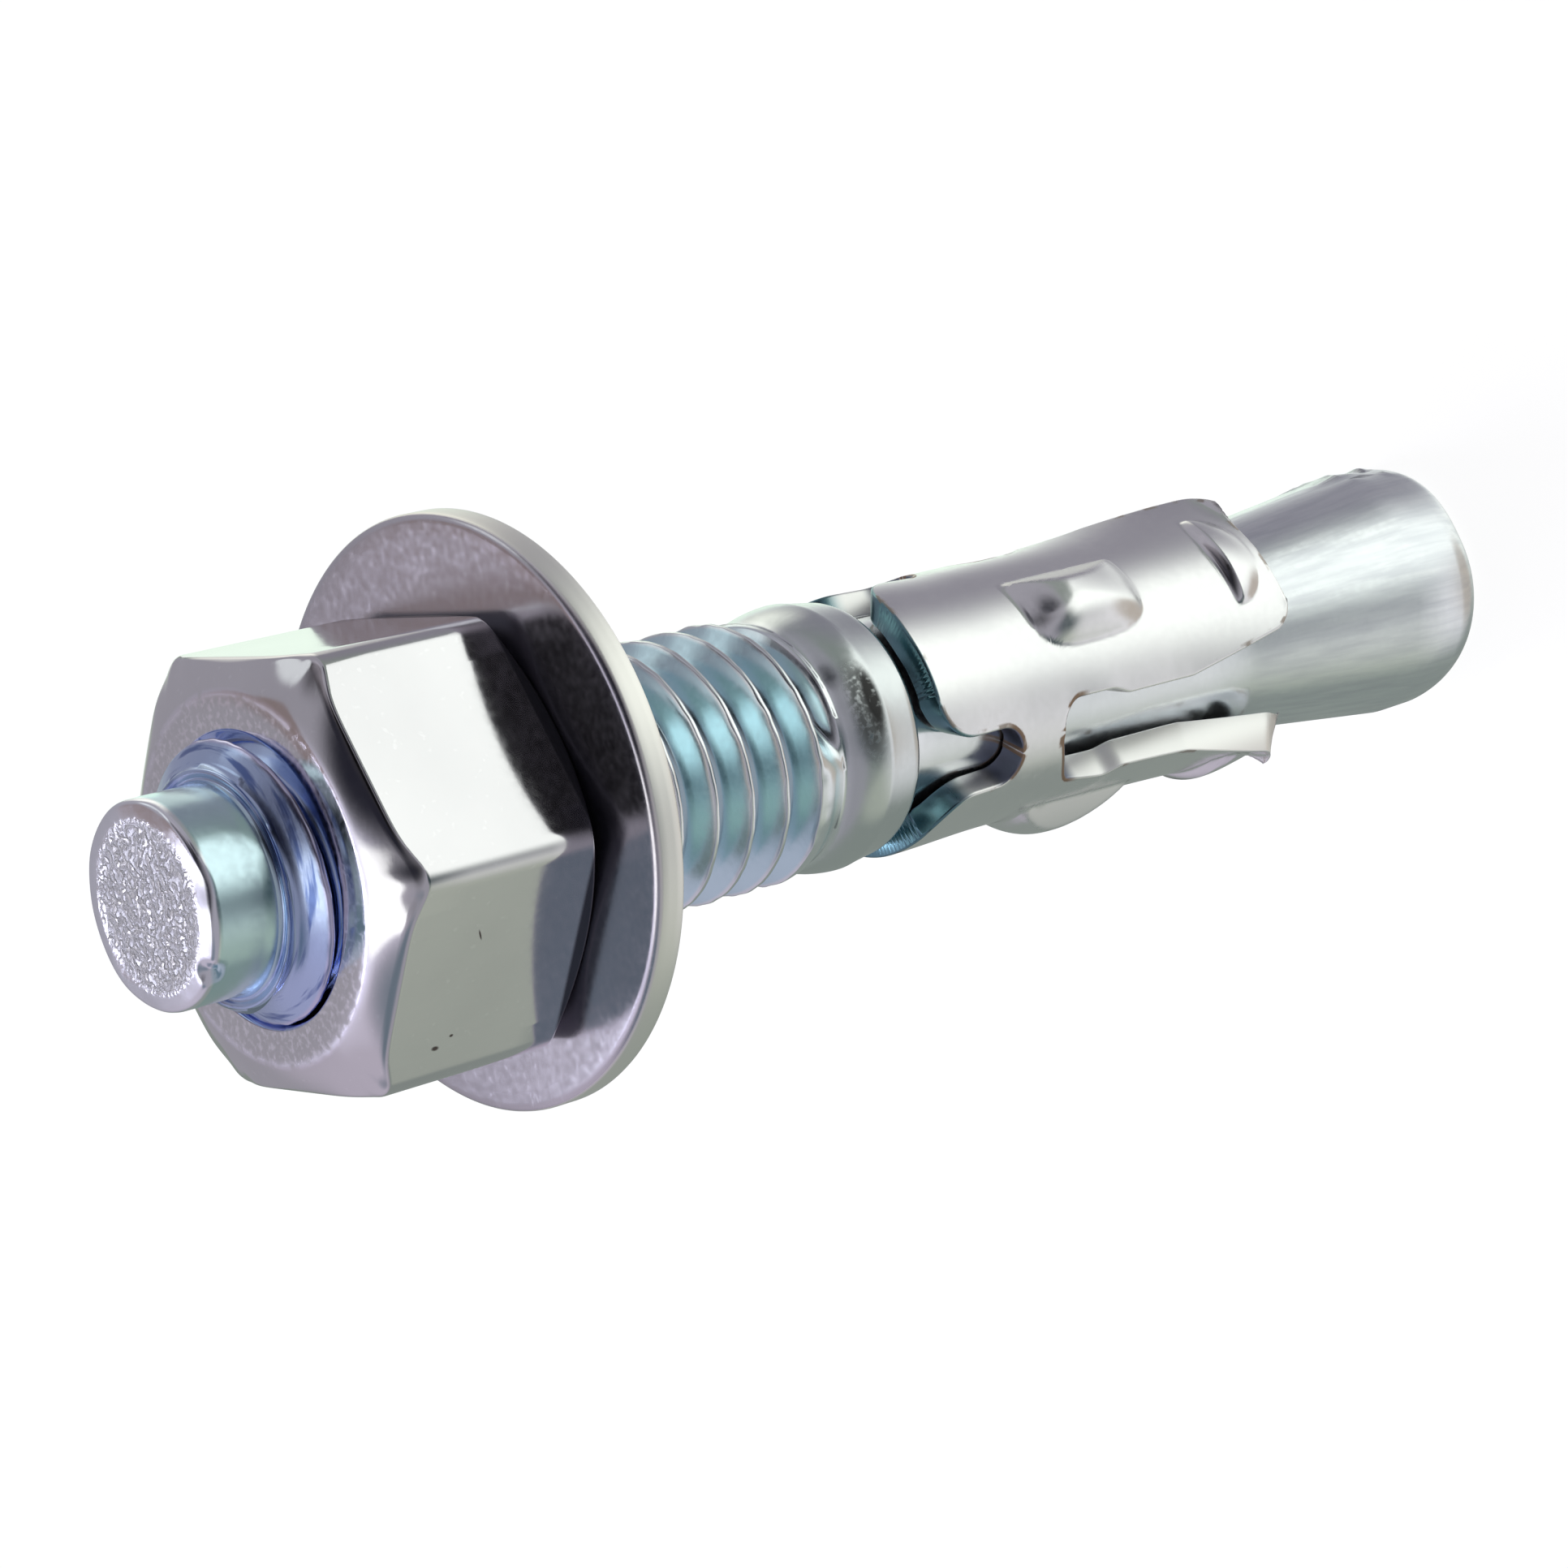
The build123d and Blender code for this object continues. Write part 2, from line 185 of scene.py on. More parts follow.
glow = add_node(sheet, "ShaderNodeEmission", {"Color": (1, 1, 1, 1), "Strength": FLOOR_GLOW})
white = add_node(sheet, "ShaderNodeAddShader", {0: shaded.outputs[0], 1: glow.outputs[0]})
paper_look = add_node(sheet, "ShaderNodeMixShader",
                      {0: seen, 1: plain.outputs[0], 2: white.outputs[0]})
paper_end = add_node(sheet, "ShaderNodeOutputMaterial")
sheet.links.new(paper_look.outputs[0], paper_end.inputs["Surface"])
floor_mesh.materials.append(paper)

# ---- Stud ----------------------------------------------------------------------------------
# One cold-formed bar of carbon steel, zinc plated: the cone that spreads the clip, its plain
# neck, the domed collar that drives it into the hole, a rolled thread that runs out into the
# blank, and the dog point that takes the hammer.

# Lengths are in mm, here and in the sections below.
STUD_COLUMNS = 180
FOOT_CENTRE = (4.76, 2.95)
FOOT_RADII = (1.545, 2.95)
CONE_RADIUS = 6.32
CONE_FOOT = 4.2
CONE_TOP = 18.186
NECK_RADIUS = 4.85
NECK_TOP = 40.75
TIGHT_SIDE = math.radians(25)
TIGHT_START_RADIUS = 4.8
TIGHT_END_HEIGHT = 2.9
TIGHT_HEIGHT = 1.2
TIGHT_RADII = (5.35, 0.97)
BEAD_SIDE = math.radians(14)
BEAD_HEIGHT = 0.22
THREAD_PITCH = 25.4 / 12
THREAD_CREST_HEIGHT = 54.471
THREAD_RADIUS = 6.35
THREAD_ROOT_RADIUS = 4.99
THREAD_FLANK_SLOPE = 1 / math.tan(math.radians(27.5))
THREAD_CREST_HALF = 0.10
THREAD_ROOT_SOFTNESS = 0.30
THREAD_CREST_SOFTNESS = 0.04
RUNOUT_END = 46.48
RUNOUT_FULL = 46.64
BLANK_RADIUS = 5.87
BLANK_HEIGHT = 45.8
BLANK_RAMP_TOP = 47.2
THREAD_END = 76.36
THREAD_BEVEL = 0.783
THREAD_END_RADIUS = 5.22
CREST_WEAR = 0.05
CREST_WEAR_DEPTH = 0.12
LAP_UNEVENNESS = 0.09
LAP_TURN = 1.9
LAP_RISE = (4.65, 4.95)
LAP_FALL = (5.15, 5.22)
DOG_RADIUS = 4.6
STUD_LENGTH = 80.0
FACE_MIDDLE_RADIUS = 3.25
FACE_MIDDLE_WANDER = 0.55
FACE_ROUGHNESS = (0.06, 0.05)
RIM_ROLL = 0.15
RIM_ROLL_SIDE = math.radians(-80)
NICK_PLACE = Vector((-2.8, -3.63, 0))
NICK_REACH = 0.7
NICK_DEPTH = 0.3
NICK_BITE = 0.35
# Zones of tint, stain and gloss: places in mm where each is 0 and where it is full.
MOUTH_TINT_RISE = (70.0, 74.0)
CONE_BRUSHED_FALL = (17.5, 16.0)
COLLAR_RISE = (40.9, 41.3)
COLLAR_FALL = (45.7, 45.2)
FACE_MIDDLE_FALL = (4.0, 3.2)
FACE_GRAIN_HEIGHT = 0.16
STAIN_TURN = (0, 0, math.radians(15))
STAIN_PLACE = ((1.65, -6.15, 44.2), (3.4, 1.6, 1.05))
STAIN_HEART_PLACE = ((2.0, -6.0, 43.75), (2.2, 1.2, 0.62))
# Rows across one turn of the thread, as parts of the pitch from its crest.
CREST_ROWS = [-0.5, -0.42, -0.34, -0.26, -0.18, -0.11, -0.075, -0.055, -0.04,
              0.0, 0.04, 0.055, 0.075, 0.11, 0.18, 0.26, 0.34, 0.42]


def arc(centre, radii, start, end, steps):
    """Points of an elliptical arc, in (radius, height), from one angle to another."""
    angles = [math.radians(start + (end - start) * n / steps) for n in range(steps + 1)]
    return [(centre[0] + radii[0] * math.cos(a), centre[1] + radii[1] * math.sin(a))
            for a in angles]


def straight(start, end, steps):
    """Points along a straight line, without its first."""
    return [tuple(first + (last - first) * n / steps for first, last in zip(start, end))
            for n in range(1, steps + 1)]


def spin_line(bm, heights, columns, lead=0.0):
    """Spins a line of vertices once round a drum of radius 1, climbing by the lead, and
    returns the new vertices."""
    start = len(bm.verts)
    line = [bm.verts.new((1, 0, height)) for height in heights]
    edges = [bm.edges.new(ends) for ends in zip(line, line[1:])]
    bmesh.ops.spin(bm, geom=line + edges, cent=(0, 0, 0), axis=(0, 0, 1),
                   dvec=(0, 0, lead / columns), angle=2 * math.pi, steps=columns,
                   use_merge=False, use_duplicate=False)
    bm.verts.ensure_lookup_table()
    return bm.verts[start:]


def lathe(bm, outline, columns, shape=None):
    """Turns an outline of (radius, height) points in mm round the axis. A shape function may
    move a point of the surface, given its radius, height and angle."""
    for vert in spin_line(bm, range(len(outline)), columns):
        radius, height = outline[round(vert.co.z)]
        angle = math.atan2(vert.co.y, vert.co.x)
        if shape:
            radius, height = shape(radius, height, angle)
        vert.co = Vector((radius * math.cos(angle), radius * math.sin(angle), height)) * MM


def soft_min(first, second, softness):
    """The lower of two numbers, with a rounded change from one to the other."""
    overlap = max(softness - abs(first - second), 0) / softness
    return min(first, second) - overlap * overlap * softness / 4


def soft_max(first, second, softness):
    """The higher of two numbers, with a rounded change from one to the other."""
    return -soft_min(-first, -second, softness)


def smooth_step(value, low, high):
    """0 below low, 1 above high, and a smooth rise between them."""
    part = min(max((value - low) / (high - low), 0), 1)
    return part * part * (3 - 2 * part)


def thread_form(height, angle, crest_radius, root_radius):
    """Radius of the thread, and the height of the groove's centre nearest to this point."""
    crest = THREAD_CREST_HEIGHT + THREAD_PITCH * angle / (2 * math.pi)
    turns = (height - crest) / THREAD_PITCH
    from_crest = abs(turns - round(turns)) * THREAD_PITCH
    from_groove = (turns - math.floor(turns) - 0.5) * THREAD_PITCH
    flank = crest_radius - (from_crest - THREAD_CREST_HALF) * THREAD_FLANK_SLOPE
    radius = soft_min(flank, crest_radius, THREAD_CREST_SOFTNESS)
    return soft_max(radius, root_radius, THREAD_ROOT_SOFTNESS), height - from_groove


def blank_radius(height):
    """Radius of the bar round the thread: the blank below it and the bevel at its end."""
    rise = smooth_step(height, BLANK_HEIGHT - 0.2, BLANK_RAMP_TOP)
    ramp = BLANK_RADIUS + (THREAD_RADIUS - BLANK_RADIUS) * rise
    bevel_slope = (THREAD_RADIUS - THREAD_END_RADIUS) / THREAD_BEVEL
    return min(ramp, THREAD_END_RADIUS + (THREAD_END - height) * bevel_slope)


def stud_thread_radius(height, angle):
    """Radius of the rolled thread, with its run-out and its worn crests."""
    form, groove = thread_form(height, angle, THREAD_RADIUS, THREAD_ROOT_RADIUS)
    envelope = blank_radius(height)
    depth = smooth_step(groove, RUNOUT_END, RUNOUT_FULL)
    cut = envelope - max(envelope - form, 0) * depth
    place = Vector((math.cos(angle) * 9, math.sin(angle) * 9, height * 1.3))
    wear = CREST_WEAR * smooth_step(cut, THREAD_RADIUS - CREST_WEAR_DEPTH, THREAD_RADIUS)
    return min(cut, envelope) + wear * (noise.noise(place) - 0.5)


def close_shell(bm):
    """Merges the seams and poles of a turned shell and points its faces outwards."""
    bmesh.ops.remove_doubles(bm, verts=bm.verts, dist=2e-7)
    bmesh.ops.dissolve_degenerate(bm, edges=bm.edges, dist=1e-7)
    bmesh.ops.recalc_face_normals(bm, faces=bm.faces)


def finish_piece(bm, name, body, node, material):
    """Makes a piece of a bmesh, which rides on a body and stands for a CAD node."""
    mesh = bpy.data.meshes.new(name)
    bm.to_mesh(mesh)
    bm.free()
    mesh.materials.append(material)
    mesh.shade_smooth()
    piece = bpy.data.objects.new(name, mesh)
    bpy.context.scene.collection.objects.link(piece)
    weighted = piece.modifiers.new("even_shading", "WEIGHTED_NORMAL")
    weighted.keep_sharp = True
    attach(piece, body)
    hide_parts(node)
    return piece


def piece_place(tree):
    """The point's place on its own piece, in metres."""
    return add_node(tree, "ShaderNodeTexCoord").outputs["Object"]


def axis_height(tree):
    """The point's height up the anchor's axis."""
    return add_node(tree, "ShaderNodeSeparateXYZ", {0: piece_place(tree)}).outputs["Z"]


def axis_distance(tree, centre=(0, 0)):
    """The point's distance from an upright line, which is the anchor's axis or near it."""
    flat = add_node(tree, "ShaderNodeMapping",
                    {"Vector": piece_place(tree), "Location": (-centre[0], -centre[1], 0),
                     "Scale": (1, 1, 0)}).outputs["Vector"]
    return add_node(tree, "ShaderNodeVectorMath", {0: flat}, operation="LENGTH").outputs["Value"]


def mark(tree, centre, reach, turn=(0, 0, 0)):
    """1 at a small mark and 0 past its reach along each of its own axes, in mm."""
    node = add_node(tree, "ShaderNodeMapping",
                    {"Vector": piece_place(tree), "Location": Vector(centre) * MM,
                     "Rotation": turn, "Scale": Vector(reach) * MM}, vector_type="TEXTURE")
    away = add_node(tree, "ShaderNodeVectorMath", {0: node.outputs["Vector"]}, operation="LENGTH")
    return ramp_value(tree, away.outputs["Value"], 1.0, 0.4)


def zone(tree, distance, start, full):
    """0 where a distance is before its start and 1 where it is past full, both in mm."""
    return ramp_value(tree, distance, start * MM, full * MM)


def band(tree, distance, rise, fall):
    """1 between a rise and a fall, each given in mm as where it is 0 and where it is 1."""
    return multiply(tree, zone(tree, distance, *rise), zone(tree, distance, *fall))


def grains(tree, scale, low, high, stretch=(1, 1, 1)):
    """Uneven grains of a scale: 1 where the noise is over high, 0 where it is under low."""
    place = add_node(tree, "ShaderNodeMapping",
                     {"Vector": piece_place(tree), "Scale": stretch}).outputs["Vector"]
    fleck = add_node(tree, "ShaderNodeTexNoise", {"Vector": place, "Scale": scale, "Detail": 3.0})
    return ramp_value(tree, fleck.outputs["Fac"], low, high)


def overlay(material, mask, colour, roughness=None, blend="MIX"):
    """Lays a colour over part of a material, and a roughness if one is given."""
    tree = material.node_tree
    shader = tree.nodes["Principled BSDF"]
    below = shader.inputs["Base Color"].links[0].from_socket
    link_socket(tree, shader.inputs["Base Color"], mix_colour(tree, mask, below, colour, blend))
    if roughness is not None:
        below = shader.inputs["Roughness"].links[0].from_socket
        rougher = ramp_value(tree, mask, 0.0, 1.0, below, roughness, smooth=False)
        link_socket(tree, shader.inputs["Roughness"], rougher)


def zinc_plate(name, pale, deep, roughness, grain=0.4):
    """Bright zinc plating on steel: patches of tint, uneven gloss, grain and hairlines."""
    material = bpy.data.materials.new(name)
    material.use_nodes = True
    tree = material.node_tree
    shader = tree.nodes["Principled BSDF"]
    place = piece_place(tree)
    patches = add_node(tree, "ShaderNodeTexNoise",
                       {"Vector": place, "Scale": 90.0, "Detail": 4.0}).outputs["Fac"]
    specks = add_node(tree, "ShaderNodeTexNoise",
                      {"Vector": place, "Scale": 2600.0, "Detail": 3.0}).outputs["Fac"]
    stretched = add_node(tree, "ShaderNodeMapping",
                         {"Vector": place, "Scale": (900.0, 5200.0, 300.0),
                          "Rotation": (0.4, 0.2, 0.7)}).outputs["Vector"]
    hairs = add_node(tree, "ShaderNodeTexNoise",
                     {"Vector": stretched, "Scale": 1.0, "Detail": 2.0}).outputs["Fac"]
    tint = mix_colour(tree, ramp_value(tree, patches, 0.35, 0.65), deep, pale)
    tint = mix_colour(tree, ramp_value(tree, specks, 0.62, 0.75, 0.0, 0.25), tint,
                      tuple(min(1.0, part * 1.2) for part in pale))
    link_socket(tree, shader.inputs["Base Color"], tint)
    shader.inputs["Metallic"].default_value = 1.0
    gloss = ramp_value(tree, specks, 0.3, 0.7, roughness * 0.8, roughness * 1.25, smooth=False)
    link_socket(tree, shader.inputs["Roughness"], gloss)
    relief = add_node(tree, "ShaderNodeMath", {0: specks, 1: hairs}, operation="ADD").outputs[0]
    bump = add_node(tree, "ShaderNodeBump", {"Strength": grain, "Distance": 0.000004,
                                             "Height": relief})
    link_socket(tree, shader.inputs["Normal"], bump.outputs["Normal"])
    return material


lower_outline = [(0, 0), (1.2, 0), (2.4, 0), (3.6, 0)]
lower_outline += arc(FOOT_CENTRE, FOOT_RADII, -90, -14, 12)
lower_outline += straight(lower_outline[-1], (CONE_RADIUS, CONE_FOOT), 2)
lower_outline += straight((CONE_RADIUS, CONE_FOOT), (NECK_RADIUS, CONE_TOP), 10)
lower_outline += straight((NECK_RADIUS, CONE_TOP), (NECK_RADIUS, NECK_TOP), 12)
lower_outline += [(4.88, 40.90), (4.98, 40.98), (5.60, 41.04), (5.92, 41.12), (6.10, 41.26),
                  (6.18, 41.45), (6.21, 41.70), (6.28, 42.2), (6.36, 42.75), (6.42, 43.10),
                  (6.45, 43.25), (6.45, 43.40), (6.43, 43.70), (6.395, 44.0), (6.34, 44.32),
                  (6.26, 44.65), (6.17, 44.95), (6.07, 45.22), (5.98, 45.45), (5.91, 45.63),
                  (BLANK_RADIUS, BLANK_HEIGHT)]


def forged_end(radius, height, angle):
    """The forged end: a tighter corner on one side, with runs of zinc left by barrel plating."""
    tight = smooth_step(math.cos(angle - TIGHT_SIDE), -0.05, 0.80)
    if radius > TIGHT_START_RADIUS and height < TIGHT_END_HEIGHT:
        corner = max(0, 1 - height / TIGHT_HEIGHT)
        tight_radius = TIGHT_RADII[0] + TIGHT_RADII[1] * math.sqrt(1 - corner * corner)
        radius += (tight_radius - radius) * tight
    place = Vector((math.cos(angle), math.sin(angle), 0)) * radius * 0.9
    place.z = height * 0.9
    bead = smooth_step(noise.noise(place * 1.5), 0.05, 0.5)
    side = smooth_step(math.cos(angle - BEAD_SIDE), 0.80, 0.97)
    along = smooth_step(height, 0.8, 2.2) * (1 - smooth_step(height, 4.5, 6.5))
    return radius + BEAD_HEIGHT * bead * side * along, height


stud_bm = bmesh.new()
lathe(stud_bm, lower_outline, STUD_COLUMNS, forged_end)
first_turn = math.floor((BLANK_HEIGHT - THREAD_CREST_HEIGHT) / THREAD_PITCH) - 1
last_turn = math.ceil((THREAD_END - THREAD_CREST_HEIGHT) / THREAD_PITCH) + 1
thread_rows = [THREAD_CREST_HEIGHT + (turn_number + part) * THREAD_PITCH
               for turn_number in range(first_turn, last_turn) for part in CREST_ROWS]
for vert in spin_line(stud_bm, thread_rows, STUD_COLUMNS, THREAD_PITCH):
    angle = math.atan2(vert.co.y, vert.co.x)
    height = min(max(vert.co.z, BLANK_HEIGHT), THREAD_END)
    radius = stud_thread_radius(height, angle)
    if height == BLANK_HEIGHT:
        radius = BLANK_RADIUS
    if height == THREAD_END:
        radius = THREAD_END_RADIUS
    vert.co = Vector((radius * math.cos(angle), radius * math.sin(angle), height)) * MM


def sheared_face(radius, height, angle):
    """The dog point: the rolled lap round its foot, and the sheared face at its end, with a
    rough middle and a rim rolled over where the blade came in."""
    if height < STUD_LENGTH - 0.3:
        on_ridge = smooth_step(radius, *LAP_RISE) * (1 - smooth_step(radius, *LAP_FALL))
        return radius + LAP_UNEVENNESS * on_ridge * math.cos(angle + LAP_TURN), height
    place = Vector((math.cos(angle), math.sin(angle), 0)) * radius
    wander = FACE_MIDDLE_WANDER * noise.noise(place * 0.5 + Vector((3, 1, 7)))
    blade = 0.30 + 0.70 * smooth_step(math.cos(angle - RIM_ROLL_SIDE), -0.5, 0.8)
    past = max(0, radius - FACE_MIDDLE_RADIUS - wander)
    rolled = RIM_ROLL * blade * past * past
    middle = 1 - smooth_step(past, 0.0, 0.5)
    coarse, fine = FACE_ROUGHNESS
    rough = noise.noise(place * 1.3) * coarse + noise.noise(place * 3.1) * fine
    nick = max(0, 1 - (place - NICK_PLACE).length / NICK_REACH)
    face = height + middle * min(0, rough - coarse) - rolled - NICK_DEPTH * nick
    return radius - NICK_BITE * nick, face


dog_outline = [(THREAD_END_RADIUS, THREAD_END), (5.20, 76.44), (5.14, 76.50), (5.03, 76.50),
               (4.90, 76.40), (4.78, 76.36), (4.68, 76.42), (4.62, 76.6)]
dog_outline += straight((DOG_RADIUS, 76.9), (DOG_RADIUS, 79.3), 6)
dog_outline += [(DOG_RADIUS, 79.75), (4.57, 79.88), (4.51, 79.96), (4.42, STUD_LENGTH),
                (4.3, STUD_LENGTH)]
dog_outline += straight(dog_outline[-1], (0, STUD_LENGTH), 42)
lathe(stud_bm, dog_outline, STUD_COLUMNS, sheared_face)
close_shell(stud_bm)
stud_zinc = zinc_plate("stud_zinc", (0.92, 0.95, 0.97), (0.86, 0.90, 0.92), 0.20)
stud_tree = stud_zinc.node_tree
up_stud = axis_height(stud_tree)
out_of_stud = axis_distance(stud_tree)
in_groove = zone(stud_tree, out_of_stud, THREAD_RADIUS - 0.05, THREAD_RADIUS - 0.23)
on_thread = zone(stud_tree, up_stud, BLANK_HEIGHT + 0.2, BLANK_HEIGHT + 1.0)
overlay(stud_zinc, multiply(stud_tree, on_thread, in_groove), (0.76, 0.94, 0.99),
        blend="MULTIPLY")
in_nut_mouth = multiply(stud_tree, zone(stud_tree, up_stud, *MOUTH_TINT_RISE),
                        zone(stud_tree, out_of_stud, DOG_RADIUS + 0.02, DOG_RADIUS + 0.15))
overlay(stud_zinc, in_nut_mouth, (0.82, 0.77, 1.0), blend="MULTIPLY")
rolling_lines = grains(stud_tree, 300.0, 0.50, 0.66, (1.0, 1.0, 18.0))
overlay(stud_zinc, multiply(stud_tree, in_nut_mouth, rolling_lines), (0.30, 0.36, 0.55),
        blend="MULTIPLY")
brushed = grains(stud_tree, 1.0, 0.30, 0.75, (2200.0, 2200.0, 90.0))
on_cone = zone(stud_tree, up_stud, *CONE_BRUSHED_FALL)
overlay(stud_zinc, multiply(stud_tree, brushed, on_cone), (0.76, 0.79, 0.83), 0.26)
on_collar = band(stud_tree, up_stud, COLLAR_RISE, COLLAR_FALL)
overlay(stud_zinc, on_collar, (0.84, 0.85, 0.84), blend="MULTIPLY")
forge_stain = multiply(stud_tree, mark(stud_tree, *STAIN_PLACE, STAIN_TURN),
                       grains(stud_tree, 3800.0, 0.28, 0.56))
overlay(stud_zinc, forge_stain, (0.20, 0.21, 0.21), 0.40)
stain_heart = multiply(stud_tree, mark(stud_tree, *STAIN_HEART_PLACE, STAIN_TURN),
                       grains(stud_tree, 2600.0, 0.20, 0.44))
overlay(stud_zinc, stain_heart, (0.05, 0.05, 0.05), 0.40)
on_face = zone(stud_tree, up_stud, STUD_LENGTH - 0.65, STUD_LENGTH - 0.45)
overlay(stud_zinc, on_face, (0.93, 0.94, 1.0))
on_middle = multiply(stud_tree, on_face, zone(stud_tree, out_of_stud, *FACE_MIDDLE_FALL))
sparkle = grains(stud_tree, 3600.0, 0.40, 0.62)
overlay(stud_zinc, on_middle, (0.95, 0.96, 1.0), 0.50)
overlay(stud_zinc, multiply(stud_tree, on_middle, sparkle), (1.0, 1.0, 1.0), 0.42)
face_bump = add_node(stud_tree, "ShaderNodeBump",
                     {"Strength": on_middle, "Distance": FACE_GRAIN_HEIGHT * MM,
                      "Height": sparkle})
stud_shader = stud_tree.nodes["Principled BSDF"]
plated_normal = stud_shader.inputs["Normal"].links[0].from_socket
link_socket(stud_tree, face_bump.inputs["Normal"], plated_normal)
link_socket(stud_tree, stud_shader.inputs["Normal"], face_bump.outputs["Normal"])
finish_piece(stud_bm, "stud_rod", "stud", "stud", stud_zinc)

# ---- Clip ----------------------------------------------------------------------------------
# A strip of sheet steel, blanked with slots, notches and pressed bumps, rolled round the neck
# into a sleeve of three leaves, and zinc plated. The cone spreads its leaves in the hole.

CLIP_TOP = 39.986
CLIP_LENGTH = 24.2
CLIP_THICKNESS = 1.4
CLIP_RADIUS = 6.35
CLIP_EDGE_ROUND = 0.14
LEAF_COUNT = 3
LEAF_CENTRE = math.radians(-47.6)
LEAF_HALF_WIDTH = CLIP_RADIUS * math.pi / LEAF_COUNT
NOTCH_DEPTH = 5.4
NOTCH_HALF_WIDTH = 1.5
NOTCH_SHIFT = -0.5
NOTCH_FLOOR_ROUND = 1.4
LEAF_CORNER_ROUND = 2.2
SLOT_START = 8.2
SLOT_EYE_HALF = 1.55
SLOT_EYE_ROUND = 1.1
SLOT_EYE_END = 11.3
SLOT_NARROWING = 1.4
SLOT_HALF_WIDTH = 1.15
SLOT_FLARE_START = 17.0
SLOT_MOUTH_HALF = 2.3
SLOT_SET_BACK = 1.25
TIP_ROUND = 1.2
SEAM_HALF_WIDTH = 0.25
# Sides of leaves, as (leaf, side): the two at the seam, and the one whose slot is set back.
SEAM_SIDES = {(1, 1), (2, -1)}
SET_BACK_SIDE = (2, 1)
COLLAR_FLARE = 0.15
COLLAR_FLARE_END = 6.0
TIP_SPREAD = 0.27
TIP_SPREAD_START = 15.6
TIP_SPREAD_POWER = 1.3
# For each side of each leaf: how far its edge stands off the sleeve, and opens by its tip.
LEAF_LIFTS = ((0.10, 0.10), (0.0, 0.75), (0.0, 0.28), (0.0, 0.28), (0.0, 0.42), (0.45, 0.60))
LIFT_FULL = 11.5
OPENING_START = 10.0
END_SLANT = 1.0
END_SLANT_SPAN = (-0.8, 6.0)
BUMP_CENTRE = (10.6, -0.5)
# Reach towards the collar, towards the tip and sideways.
BUMP_REACH = (3.05, 4.6, 2.05)
BUMP_SHOULDER = 0.75
BUMP_HEIGHT = 1.15
BUMP_FLAT_EDGE = 1.75
BUMP_FLAT_SLOPE = 0.80
BUMP_SOFTNESS = 0.14
MOON_START = 21.3
MOON_LENGTH = 2.3
MOON_SKEW = 0.35
MOON_LIP = 0.30
MOON_CENTRE = 0.1
MOON_HALF_WIDTH = 2.75
MOON_HEIGHT = 0.52
# Zones of tint, rust and painted shade: heights in mm where each is 0 and where it is full.
COLLAR_SHADE_RISE = (37.2, 38.5)
BRIDGE_RISE = (30.0, 30.8)
BRIDGE_FALL = (36.2, 35.2)
CLIP_COLUMNS = 72
EDGE_STEPS = 1210
END_STEPS = 300
# Insets of the first rows and columns from an edge, close enough to round it.
ROUND_STEPS = [0.0, 0.02, 0.06, 0.12, 0.2]


def quarter_round(distance, radius):
    """How far a rounded corner stands back, at a distance from its end."""
    if distance >= radius:
        return 0.0
    return radius - math.sqrt(radius * radius - (radius - distance) ** 2)


def gap_half_width(along, is_seam):
    """Half the gap between two leaves, at a distance from the clip's collar end."""
    if along < NOTCH_DEPTH:
        floor = quarter_round(NOTCH_DEPTH - along, NOTCH_FLOOR_ROUND)
        half = NOTCH_HALF_WIDTH - floor * NOTCH_HALF_WIDTH / NOTCH_FLOOR_ROUND
        half += quarter_round(along, LEAF_CORNER_ROUND)
    elif along <= SLOT_START:
        half = 0.0
    else:
        narrow = smooth_step(along, SLOT_EYE_END, SLOT_EYE_END + SLOT_NARROWING)
        half = SLOT_EYE_HALF + (SLOT_HALF_WIDTH - SLOT_EYE_HALF) * narrow
        eye = quarter_round(along - SLOT_START, SLOT_EYE_ROUND)
        half -= eye * SLOT_EYE_HALF / SLOT_EYE_ROUND
        flare_length = CLIP_LENGTH - TIP_ROUND - SLOT_FLARE_START
        flare = max(0, (along - SLOT_FLARE_START) / flare_length)
        half += (SLOT_MOUTH_HALF - SLOT_HALF_WIDTH) * flare
        half += quarter_round(CLIP_LENGTH - along, TIP_ROUND)
    return max(half, SEAM_HALF_WIDTH) if is_seam else half


def leaf_edge(along, leaf, side):
    """Place of a leaf's edge from its middle line, on one side."""
    shift = NOTCH_SHIFT * (1 - smooth_step(along, NOTCH_DEPTH, SLOT_START))
    if (leaf, side) == SET_BACK_SIDE:
        shift -= SLOT_SET_BACK * smooth_step(along, SLOT_START, SLOT_START + 1.0)
    gap = gap_half_width(along, (leaf, side) in SEAM_SIDES)
    return side * (LEAF_HALF_WIDTH - gap) + shift


def on_bridge(along, leaf, side):
    """Whether this place on a leaf's edge is joined to the next leaf."""
    return NOTCH_DEPTH <= along <= SLOT_START and (leaf, side) not in SEAM_SIDES


def sleeve_radius(along):
    """Outer radius of the sleeve: a little flared at the collar, and spread over the cone."""
    collar = COLLAR_FLARE * (1 - smooth_step(along, 0, COLLAR_FLARE_END))
    past = max(0, (along - TIP_SPREAD_START) / (CLIP_LENGTH - TIP_SPREAD_START))
    return CLIP_RADIUS + collar + TIP_SPREAD * past ** TIP_SPREAD_POWER


def bump_flat(across):
    """Height of the slope that the pressed bump's upper side is flattened to."""
    return BUMP_FLAT_SLOPE * (BUMP_FLAT_EDGE - across)


